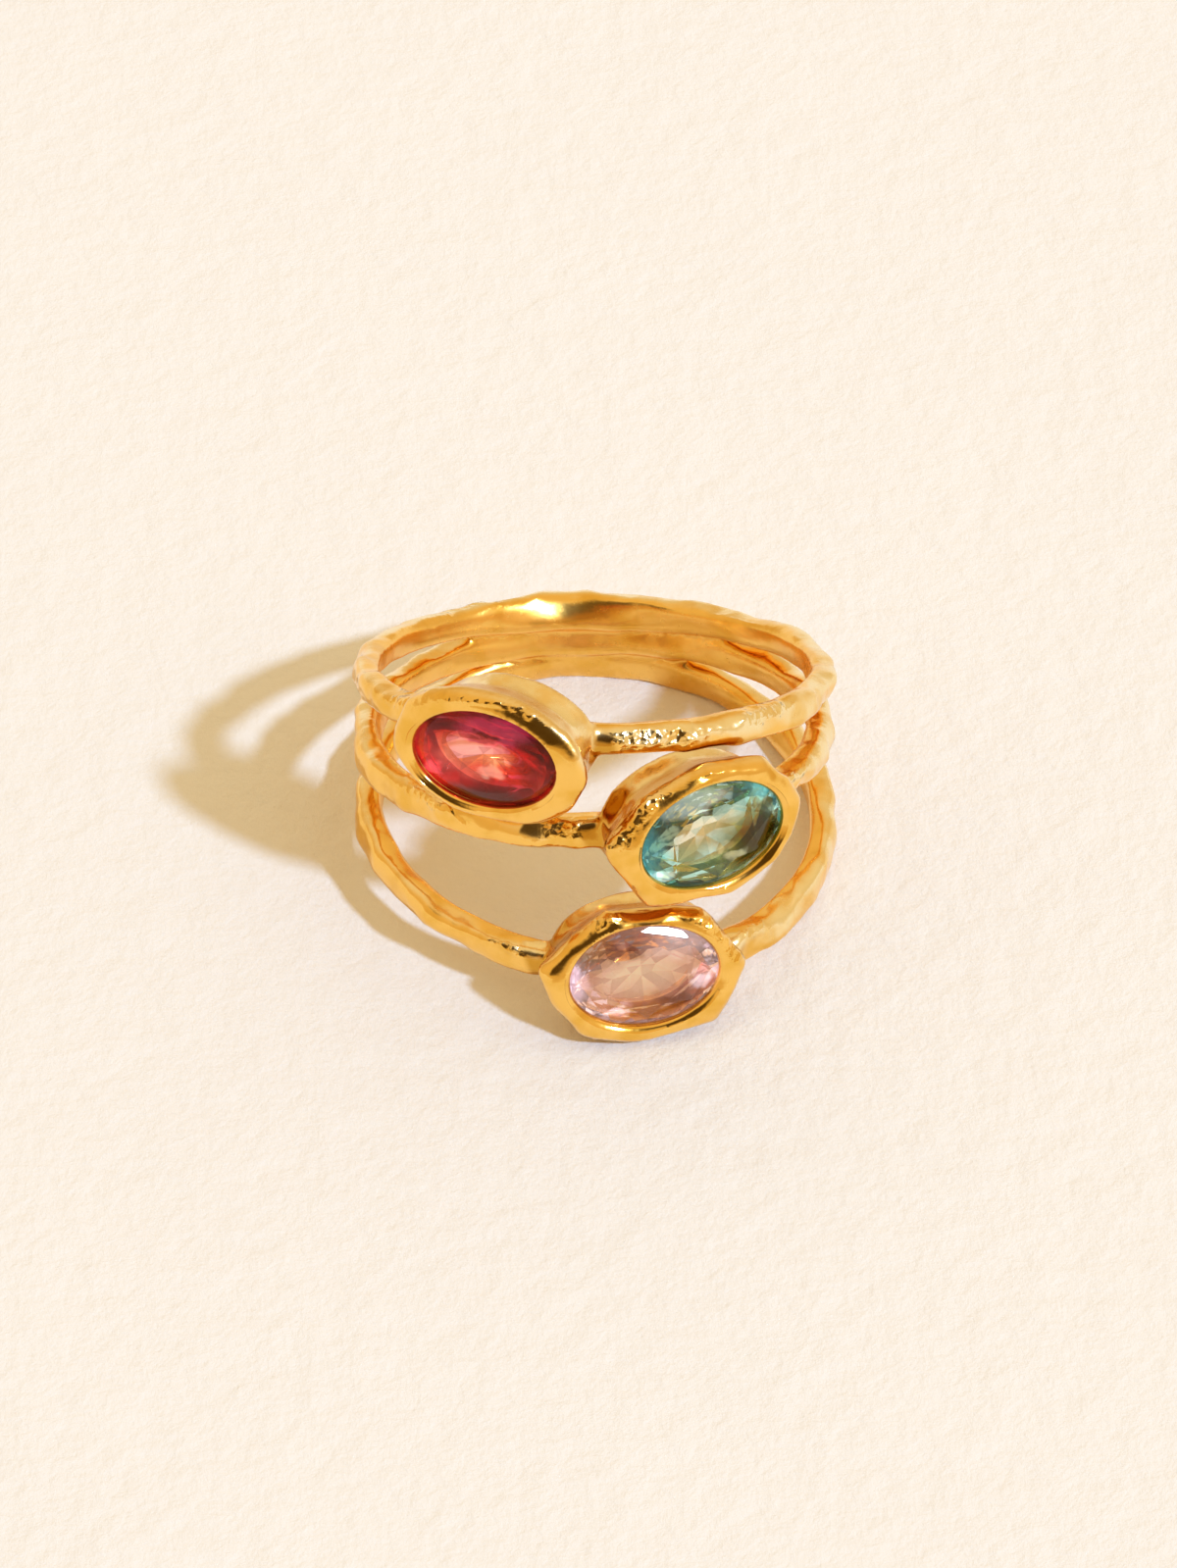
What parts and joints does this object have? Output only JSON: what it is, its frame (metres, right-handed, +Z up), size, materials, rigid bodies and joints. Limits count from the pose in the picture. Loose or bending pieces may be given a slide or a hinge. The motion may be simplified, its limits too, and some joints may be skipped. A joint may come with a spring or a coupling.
{
  "type": "gemstone ring",
  "caption": "Open hammered gold finger ring with slim bands joined at the back and fanning out to oval bezel cups, each set with a faceted coloured stone.",
  "frame": {"origin": "middle of the ring's footprint, at the height of the surface it lies on", "axes": "+Z up from that surface, roughly along the finger's axis; the stones face -Y; +X to the right seen from the stones' side"},
  "size_m": [0.02, 0.0218, 0.0159],
  "materials": {
    "gold": "polished hammered gold plate",
    "red_stone": "faceted and polished",
    "teal_stone": "faceted and polished",
    "pink_stone": "faceted and polished"
  },
  "bodies": {
    "root": {"ring_body": "gold", "stone_red": "red_stone", "stone_teal": "teal_stone", "stone_pink": "pink_stone"}
  },
  "joints": []
}
